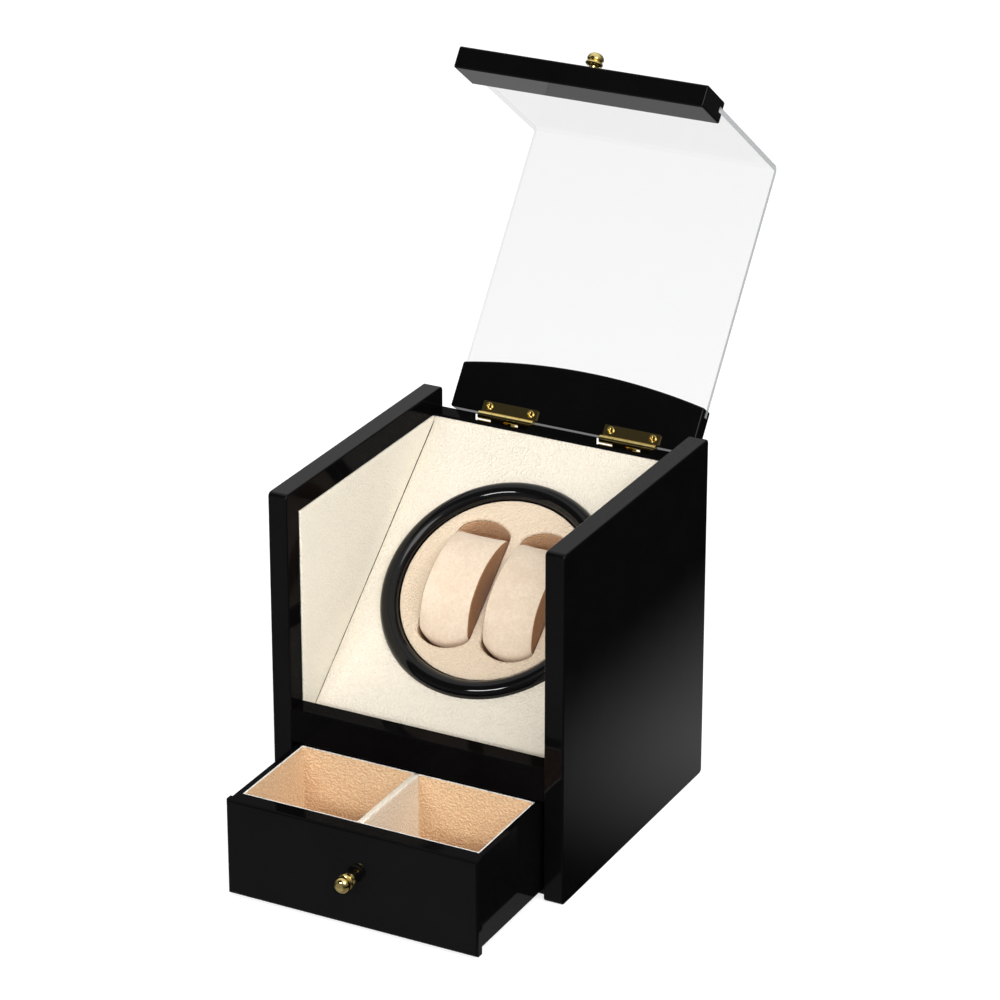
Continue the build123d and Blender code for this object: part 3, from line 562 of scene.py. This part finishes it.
def pocket_loop(grow=0.0):
    """Outline of a cushion pocket, anticlockwise: straight sides and bowed ends."""
    rise = POCKET_END - POCKET_STRAIGHT
    radius = (POCKET_HALF ** 2 + rise ** 2) / (2 * rise)
    spread = math.asin(POCKET_HALF / radius)
    corners = []
    for end in (1, -1):
        for step in np.linspace(-spread, spread, 15):
            reach = POCKET_END - radius + radius * math.cos(step)
            corners.append((-end * radius * math.sin(step), end * reach))
    loop = spaced(corners, 1.0)
    for _ in range(6):
        loop = (np.roll(loop, 1, axis=0) + 2 * loop + np.roll(loop, -1, axis=0)) / 4
    return shifted(loop, -grow) if grow else loop


def at_pocket(side, x, u, h):
    return on_panel(side * POCKET_PLACE + x, u, h)


disc_low, disc_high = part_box("turntable_lining")
DISC_RADIUS = (disc_high.x - disc_low.x) / 2 / MM
FACE_TOP = 0.55
pocket_holes = []
for side in (-1, 1):
    hole = pocket_loop() + np.array([side * POCKET_PLACE, 0])
    pocket_holes.append(hole[::-1])
disc_sheet = rolled_sheet(
    "turntable_leather", circle(DISC_RADIUS - 0.1, 1.5), pocket_holes,
    lambda x, u, h: on_panel(x, u, FACE_TOP + h), 0.75, 0.7, [TURNTABLE_LEATHER],
    hole_roll=1.7, grid=2.4, wave=0.07, seed=11.0)
finish_piece(disc_sheet, "turntable", "ivory_leather", "turntable_lining")

RIM_DEPTH, FLOOR_DEPTH, FLOOR_ROUND = -1.6, -20.2, 3.0
for side, side_name in ((-1, "left"), (1, "right")):
    profile = [(0.75, FLOOR_DEPTH - 0.8), (0.75, RIM_DEPTH), (0.12, RIM_DEPTH), (0.08, -3.0),
               (0.05, -9.0), (0.0, FLOOR_DEPTH + FLOOR_ROUND)]
    for step in range(1, 6):
        turn = math.radians(18 * step)
        profile.append((-FLOOR_ROUND * (1 - math.cos(turn)),
                        FLOOR_DEPTH + FLOOR_ROUND * (1 - math.sin(turn))))
    profile.append((-7.0, FLOOR_DEPTH + 0.05))
    rings = [[at_pocket(side, x, u, h) for x, u in pocket_loop(grow)] for grow, h in profile]
    # The tubs take the darker tan leather that paints the shade inside the pockets.
    tub = lofted(f"pocket_tub_{side_name}", rings, [POCKET_LEATHER_PAINTED_SHADE])
    finish_piece(tub, "turntable", "ivory_leather", f"pocket_lining_{side_name}")


# ---- cushions ----------------------------------------------------------------------
CUSHION_HALF = 15.1
CUSHION_LOW, CUSHION_HIGH, CUSHION_CROWN = -36.4, 30.0, 13.5
CUSHION_FLOOR = -19.8
CORNER_U = -30.0
START_INSET = 0.55
BAND_STEPS = 14
SIM_SCALE = 20.0
SIM_FRAMES = 20
HINGE_U = -14.0
CROWN_SWELL, SIDE_SWELL = 1.7, 0.2


def cushion_profile():
    """Side view of a cushion as (u, h), anticlockwise from its lower end, softened."""
    middle = (CUSHION_LOW + CUSHION_HIGH) / 2
    reach = (CUSHION_HIGH - CUSHION_LOW) / 2
    radius = (reach ** 2 + CUSHION_CROWN ** 2) / (2 * CUSHION_CROWN)
    spread = math.asin(reach / radius)
    arch = [(middle + radius * math.sin(t), CUSHION_CROWN - radius + radius * math.cos(t))
            for t in np.linspace(-spread, spread, 31)]
    under = [(CUSHION_HIGH, -10), (CUSHION_HIGH - 10, CUSHION_FLOOR),
             (CUSHION_LOW + 10, CUSHION_FLOOR), (CUSHION_LOW, -10)]
    loop = spaced((arch + under)[::-1], 1.5)
    for _ in range(4):
        loop = (np.roll(loop, 1, axis=0) + 2 * loop + np.roll(loop, -1, axis=0)) / 4
    return loop


def lower_end(x):
    """How far down the slope the cushion reaches, rounded in plan."""
    rise = CORNER_U - CUSHION_LOW
    radius = (CUSHION_HALF ** 2 + rise ** 2) / (2 * rise)
    return CUSHION_LOW + radius - math.sqrt(radius ** 2 - x ** 2)


def cushion_point(side, x, u, h):
    if u < HINGE_U:
        reach = HINGE_U - lower_end(min(abs(x), CUSHION_HALF))
        u = HINGE_U + (u - HINGE_U) * reach / (HINGE_U - CUSHION_LOW)
    return Vector((side * POCKET_PLACE + x, u, h))


def build_cushion(side, side_name):
    profile = shifted(cushion_profile(), START_INSET)
    half = CUSHION_HALF - START_INSET
    hub = np.array([(CUSHION_LOW + CUSHION_HIGH) / 2, -4.0])
    shares = [0.08, 0.25, 0.42, 0.58, 0.72, 0.85, 0.94]
    rings = []
    for share in shares:
        rings.append([cushion_point(side, -half, *(hub + (p - hub) * share)) for p in profile])
    for x in np.linspace(-half, half, BAND_STEPS + 1):
        rings.append([cushion_point(side, x, *p) for p in profile])
    for share in shares[::-1]:
        rings.append([cushion_point(side, half, *(hub + (p - hub) * share)) for p in profile])
    first_band = len(shares)
    last_band = first_band + BAND_STEPS

    def kind(r):
        return 0 if first_band <= r < last_band else 1

    scaled = [[Vector(p) * MM * SIM_SCALE for p in ring] for ring in rings]
    piece = lofted(f"cushion_pillow_{side_name}", scaled, [BAND_SUEDE, SIDE_SUEDE_PART_PAINTED_SHADE], kind)
    count = len(profile)
    mesh = piece.data
    rest = np.array([v.co[:] for v in mesh.vertices])
    seam = piece.vertex_groups.new(name="seam")
    seam_rings = (first_band, last_band)
    seam.add([r * count + i for r in seam_rings for i in range(count)], 1.0, "REPLACE")
    cloth = piece.modifiers.new("Cloth", "CLOTH")
    cloth.settings.use_pressure = True
    cloth.settings.uniform_pressure_force = 4.0
    cloth.settings.effector_weights.gravity = 0
    cloth.settings.vertex_group_mass = "seam"
    cloth.settings.pin_stiffness = 3.0
    cloth.settings.quality = 6
    cloth.settings.bending_stiffness = 2.0
    for number in range(1, SIM_FRAMES + 1):
        scene.frame_set(number)
    settled = piece.evaluated_get(bpy.context.evaluated_depsgraph_get())
    moved = np.array([v.co[:] for v in settled.data.vertices])
    piece.modifiers.remove(cloth)
    scene.frame_set(1)
    rest_mm, moved_mm = rest / SIM_SCALE / MM, moved / SIM_SCALE / MM
    push = moved_mm - rest_mm
    length = np.linalg.norm(push, axis=1)
    limit = np.where(rest_mm[:, 2] > 1.0, CROWN_SWELL, START_INSET + SIDE_SWELL)
    push *= np.minimum(1, limit / np.maximum(length, 1e-9))[:, None]
    shape = rest_mm + push
    for i, (x, u, h) in enumerate(shape):
        ripple = noise.noise(Vector((x * 0.3, u * 0.3, h * 0.3 + side * 5)))
        gather = math.exp(-((u - CUSHION_LOW) / 9.0) ** 2)
        pucker = noise.noise(Vector((x * 0.75, u * 0.16, h * 0.16 + side * 9)))
        shape[i, 2] += 0.12 * ripple + 0.28 * gather * pucker
    for i, (x, u, h) in enumerate(shape):
        mesh.vertices[i].co = on_panel(x, u, h)
    mesh.update()
    bpy.context.view_layer.objects.active = piece
    rounder = piece.modifiers.new("Smooth", "SUBSURF")
    rounder.levels = rounder.render_levels = 1
    rounded = bpy.data.meshes.new_from_object(piece.evaluated_get(bpy.context.evaluated_depsgraph_get()))
    piece.modifiers.remove(rounder)
    piece.data = rounded
    finish_piece(piece, f"{side_name}_cushion", "cushion_suede", f"cushion_{side_name}")
    return piece


build_cushion(-1, "left")
build_cushion(1, "right")


# ---- drawer compartments -----------------------------------------------------------
tray_low, tray_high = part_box("drawer_lining_left")
# The tray leather carries a painted highlight, a near-white band along the top of its walls.
DRAWER_LEATHER = leather("tan_drawer_leather", rgb(243, 209, 168), rgb(214, 166, 118),
                         top_highlight=(tray_high.z, rgb(250, 247, 240)), grain=0.0008, tint=0.42)
# Painted light: the divider is wrapped in a paler copy of the tan leather, for the light on its top.
DIVIDER_LEATHER_PAINTED_LIGHT = leather("divider_leather_painted_light", rgb(244, 230, 208), rgb(222, 200, 172))
TRAY_WALL, TRAY_CORNER, TRAY_FOOT = 0.9, 0.9, 1.1


def rounded_box(low, high, inset, corner):
    """Rounded rectangle in millimetres, anticlockwise, eight points a corner."""
    x0, y0, x1, y1 = low.x + inset, low.y + inset, high.x - inset, high.y - inset
    points = []
    for cx, cy, start in ((x1, y1, 0), (x0, y1, 90), (x0, y0, 180), (x1, y0, 270)):
        sx, sy = (1 if cx == x1 else -1), (1 if cy == y1 else -1)
        for step in range(8):
            turn = math.radians(start + 90 * step / 7)
            points.append((cx - sx * corner + corner * math.cos(turn),
                           cy - sy * corner + corner * math.sin(turn)))
    return points


for side_name in ("left", "right"):
    node = f"drawer_lining_{side_name}"
    low, high = (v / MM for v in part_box(node))
    top, floor = high.z, low.z + TRAY_WALL
    steps = [(0.02, 0.4, low.z), (0.02, 0.4, top - 0.15), (0.12, 0.4, top - 0.03), (0.3, 0.5, top),
             (TRAY_WALL - 0.25, TRAY_CORNER, top), (TRAY_WALL - 0.06, TRAY_CORNER, top - 0.06),
             (TRAY_WALL, TRAY_CORNER, top - 0.3), (TRAY_WALL, TRAY_CORNER, floor + TRAY_FOOT)]
    for step in range(1, 6):
        turn = math.radians(18 * step)
        steps.append((TRAY_WALL + TRAY_FOOT * (1 - math.cos(turn)), TRAY_CORNER,
                      floor + TRAY_FOOT * (1 - math.sin(turn))))
    steps += [(8.0, 3.0, floor + 0.12), (20.0, 3.0, floor + 0.3)]
    rings = [[Vector((x, y, z)) * MM for x, y in rounded_box(low, high, inset, corner)]
             for inset, corner, z in steps]
    tray = lofted(f"drawer_tray_{side_name}", rings, [DRAWER_LEATHER])
    finish_piece(tray, "drawer", "drawer_leather", node)


divider_low, divider_high = (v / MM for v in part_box("drawer_divider"))
wrap = TRAY_WALL + 0.12
half_wrap = (divider_high.x - divider_low.x) / 2 + wrap
wrap_top = tray_high.z / MM + 0.25
wrap_foot = tray_low.z / MM + TRAY_WALL + 0.4
section = [(-half_wrap, wrap_foot), (half_wrap, wrap_foot)]
for step in range(9):
    turn = math.radians(180 * step / 8)
    section.append((half_wrap * math.cos(turn), wrap_top - 1.1 + 1.1 * math.sin(turn)))
rings = []
for share in np.linspace(0, 1, 25):
    y = divider_low.y + TRAY_WALL + 0.02 + share * (divider_high.y - divider_low.y - 2 * TRAY_WALL - 0.04)
    sway = 0.10 * noise.noise(Vector((share * 4, 0.3, 2.0)))
    rings.append([Vector((x + sway * (z > wrap_foot + 1), y, z + sway * 0.5)) * MM
                  for x, z in spaced(section, 2.0)])
divider_wrap = lofted("drawer_divider_leather", rings, [DIVIDER_LEATHER_PAINTED_LIGHT])
finish_piece(divider_wrap, "drawer", "drawer_leather", "drawer_divider")


# ---- studio ------------------------------------------------------------------------
def emitter(name, colour, strength):
    mat = bpy.data.materials.new(name)
    mat.use_nodes = True
    tree = mat.node_tree
    tree.nodes.clear()
    glow = add(tree, "Emission", {"Color": colour, "Strength": strength})
    out = add(tree, "OutputMaterial")
    tree.links.new(glow.outputs[0], out.inputs["Surface"])
    return mat, tree, glow


def stage_plane(name, points, mat):
    mesh = bpy.data.meshes.new(name)
    mesh.from_pydata(points, [], [tuple(range(len(points)))])
    mesh.materials.append(mat)
    plane = bpy.data.objects.new(name, mesh)
    scene.collection.objects.link(plane)
    return plane


def soft_light(name, place, target, size, power, colour=(1, 1, 1), seen=False):
    light = bpy.data.lights.new(name, "AREA")
    light.shape = "RECTANGLE"
    light.size, light.size_y = size
    light.energy = power
    light.color = colour
    lamp = bpy.data.objects.new(name, light)
    lamp.location = place
    lamp.rotation_euler = (Vector(target) - Vector(place)).to_track_quat("-Z", "Y").to_euler()
    lamp.visible_camera = False
    lamp.visible_glossy = seen
    scene.collection.objects.link(lamp)
    return lamp


FLOOR_GLOW = 0.74
floor_mat, floor_tree, floor_shader = new_material(
    "pale_floor", Roughness=0.8, Specular_IOR_Level=0.0, Emission_Color=(1, 1, 1, 1),
    Emission_Strength=FLOOR_GLOW)
floor_tone = noise_of(floor_tree, here(floor_tree), 3, 2)
floor_tree.links.new(mixed(floor_tree, floor_tone, (0.49, 0.49, 0.49, 1), (0.51, 0.51, 0.51, 1)),
                     floor_shader.inputs["Base Color"])
floor = stage_plane("floor", [(-9, -9, 0), (9, -9, 0), (9, 9, 0), (-9, 9, 0)], floor_mat)
floor.visible_glossy = False

# What the lacquer's right side sees of the floor close by: pale beside the case, dark further off.
card_mat, card_tree, card_glow = emitter("floor_reflection", (1, 1, 1, 1), 1.0)
card_at = add(card_tree, "SeparateXYZ", {0: here(card_tree)})
card_x = ranged(card_tree, card_at.outputs["X"], 0.085, 0.21, 1.0, 0.0, True)
card_y = ranged(card_tree, card_at.outputs["Y"], -0.06, 0.14, 0.0, 1.0, True)
card_tree.links.new(maths(card_tree, "MULTIPLY", maths(card_tree, "MULTIPLY", card_x, card_y), 0.55),
                    card_glow.inputs["Strength"])
card = stage_plane("floor_reflection_card", [(0.085, -0.4, 0.0004), (0.6, -0.4, 0.0004),
                                             (0.6, 0.9, 0.0004), (0.085, 0.9, 0.0004)], card_mat)
card.visible_camera = card.visible_diffuse = card.visible_shadow = card.visible_transmission = False

world = bpy.data.worlds.new("studio")
scene.world = world
world.use_nodes = True
sky = world.node_tree
backdrop = next(n for n in sky.nodes if n.type == "BACKGROUND")
backdrop.inputs["Color"].default_value = (1, 1, 1, 1)
toward = add(sky, "SeparateXYZ", {0: add(sky, "TexCoord").outputs["Generated"]})
height = toward.outputs["Z"]
def seen_toward(direction, near, full):
    """1 around a direction, falling to 0 where its cosine is under near."""
    aim = add(sky, "VectorMath", {0: add(sky, "TexCoord").outputs["Generated"],
                                  1: Vector(direction).normalized()}, operation="DOT_PRODUCT")
    return ranged(sky, aim.outputs["Value"], near, full, 0.0, 1.0, True)


# Where the front faces, the sloping top edges and the open lid's hinge rail reflect.
FRONT_MIRROR, TOP_MIRROR, RAIL_MIRROR = (-0.42, -0.81, -0.40), (-0.42, 0.81, 0.40), (-0.42, -0.63, 0.65)
behind = ranged(sky, toward.outputs["Y"], 0.0, 0.5, 0.12, 0.55, True)
lower = maths(sky, "MAXIMUM", ranged(sky, height, -0.42, -0.62, 0.0, 1.0, True), 0.0)
lower = maths(sky, "MULTIPLY_ADD", lower, behind, 0.05)
lower = maths(sky, "MULTIPLY_ADD", seen_toward(FRONT_MIRROR, 0.7, 0.95), 0.17, lower)
upper = ranged(sky, height, 0.2, 0.95, 0.14, 0.75, True)
upper = maths(sky, "MULTIPLY_ADD", seen_toward(TOP_MIRROR, 0.8, 0.96), 0.35, upper)
flag = maths(sky, "MULTIPLY_ADD", seen_toward(RAIL_MIRROR, 0.84, 0.94), -0.94, 1.0)
upper = maths(sky, "MULTIPLY", upper, flag)
level = add(sky, "Mix", {0: ranged(sky, height, -0.03, 0.03, 0.0, 1.0), 2: lower, 3: upper}).outputs[0]
sky.links.new(level, backdrop.inputs["Strength"])

soft_light("key_right", (1.5, -1.5, 2.0), (0, 0, 0.1), (1.5, 1.5), 27, (1.0, 0.995, 0.98), True)
soft_light("right_high", (2.4, -0.6, 1.9), (0, 0, 0.1), (1.2, 1.2), 29)
soft_light("front_soft", (0.5, -2.4, 0.9), (0, 0, 0.1), (1.4, 1.0), 12)
soft_light("front_strip", (-0.25, -1.5, 0.75), (0, 0, 0.12), (0.5, 0.16), 9, seen=True)

camera_data = bpy.data.cameras.new("camera")
camera_data.sensor_width = 36
camera_data.lens = 148.97
camera_data.clip_end = 50
camera = bpy.data.objects.new("camera", camera_data)
camera.location = (0.9170, -1.7453, 1.0450)
camera.rotation_euler = (math.radians(66.25), 0, math.radians(27.59))
scene.collection.objects.link(camera)
scene.camera = camera
